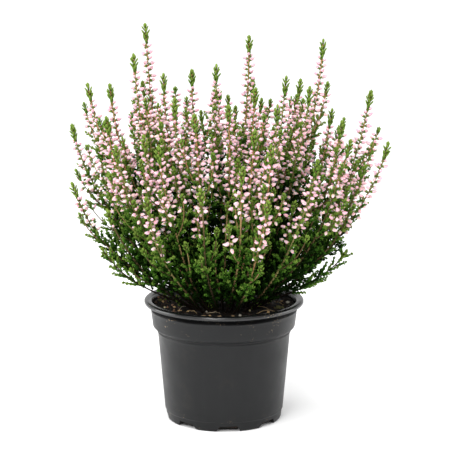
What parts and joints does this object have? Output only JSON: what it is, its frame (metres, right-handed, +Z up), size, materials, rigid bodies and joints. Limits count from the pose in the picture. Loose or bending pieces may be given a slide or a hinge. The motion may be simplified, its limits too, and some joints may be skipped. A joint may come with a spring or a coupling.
{
  "type": "potted heather",
  "caption": "Bushy bud-blooming heather with slender spikes of small pink buds and green leafy tips, growing from soil in a round tapered nursery pot.",
  "frame": {"origin": "centre of the pot's flat underside, on the pot's upright axis, level with the surface that it stands on", "axes": "+Z up along the pot's axis, -Y towards the front, +X to the right seen from the front"},
  "size_m": [0.2164, 0.2073, 0.274],
  "materials": {
    "pot_plastic": "charcoal injection-moulded plastic, satin matt, with faint dust",
    "potting_soil": "moist peat with fibres and pale grit",
    "flowering_heather": "soft pink closed buds on olive and red-brown stems, with green leafy tips",
    "leafy_heather": "small green scale leaves on thin stems"
  },
  "bodies": {
    "root": {"pot": "pot_plastic", "soil": "potting_soil", "flowering_stem_1": "flowering_heather", "flowering_stem_2": "flowering_heather", "flowering_stem_3": "flowering_heather", "flowering_stem_4": "flowering_heather", "flowering_stem_5": "flowering_heather", "flowering_stem_6": "flowering_heather", "flowering_stem_7": "flowering_heather", "flowering_stem_8": "flowering_heather", "flowering_stem_9": "flowering_heather", "flowering_stem_10": "flowering_heather", "flowering_stem_11": "flowering_heather", "flowering_stem_12": "flowering_heather", "flowering_stem_13": "flowering_heather", "flowering_stem_14": "flowering_heather", "flowering_stem_15": "flowering_heather", "flowering_stem_16": "flowering_heather", "flowering_stem_17": "flowering_heather", "flowering_stem_18": "flowering_heather", "flowering_stem_19": "flowering_heather", "flowering_stem_20": "flowering_heather", "flowering_stem_21": "flowering_heather", "flowering_stem_22": "flowering_heather", "flowering_stem_23": "flowering_heather", "flowering_stem_24": "flowering_heather", "flowering_stem_25": "flowering_heather", "flowering_stem_26": "flowering_heather", "flowering_stem_27": "flowering_heather", "flowering_stem_28": "flowering_heather", "flowering_stem_29": "flowering_heather", "flowering_stem_30": "flowering_heather", "flowering_stem_31": "flowering_heather", "flowering_stem_32": "flowering_heather", "flowering_stem_33": "flowering_heather", "flowering_stem_34": "flowering_heather", "flowering_stem_35": "flowering_heather", "flowering_stem_36": "flowering_heather", "flowering_stem_37": "flowering_heather", "flowering_stem_38": "flowering_heather", "flowering_stem_39": "flowering_heather", "flowering_stem_40": "flowering_heather", "flowering_stem_41": "flowering_heather", "flowering_stem_42": "flowering_heather", "flowering_stem_43": "flowering_heather", "flowering_stem_44": "flowering_heather", "flowering_stem_45": "flowering_heather", "flowering_stem_46": "flowering_heather", "flowering_stem_47": "flowering_heather", "flowering_stem_48": "flowering_heather", "flowering_stem_49": "flowering_heather", "flowering_stem_50": "flowering_heather", "leafy_shoot_1": "leafy_heather", "leafy_shoot_2": "leafy_heather", "leafy_shoot_3": "leafy_heather", "leafy_shoot_4": "leafy_heather", "leafy_shoot_5": "leafy_heather", "leafy_shoot_6": "leafy_heather"}
  },
  "joints": []
}
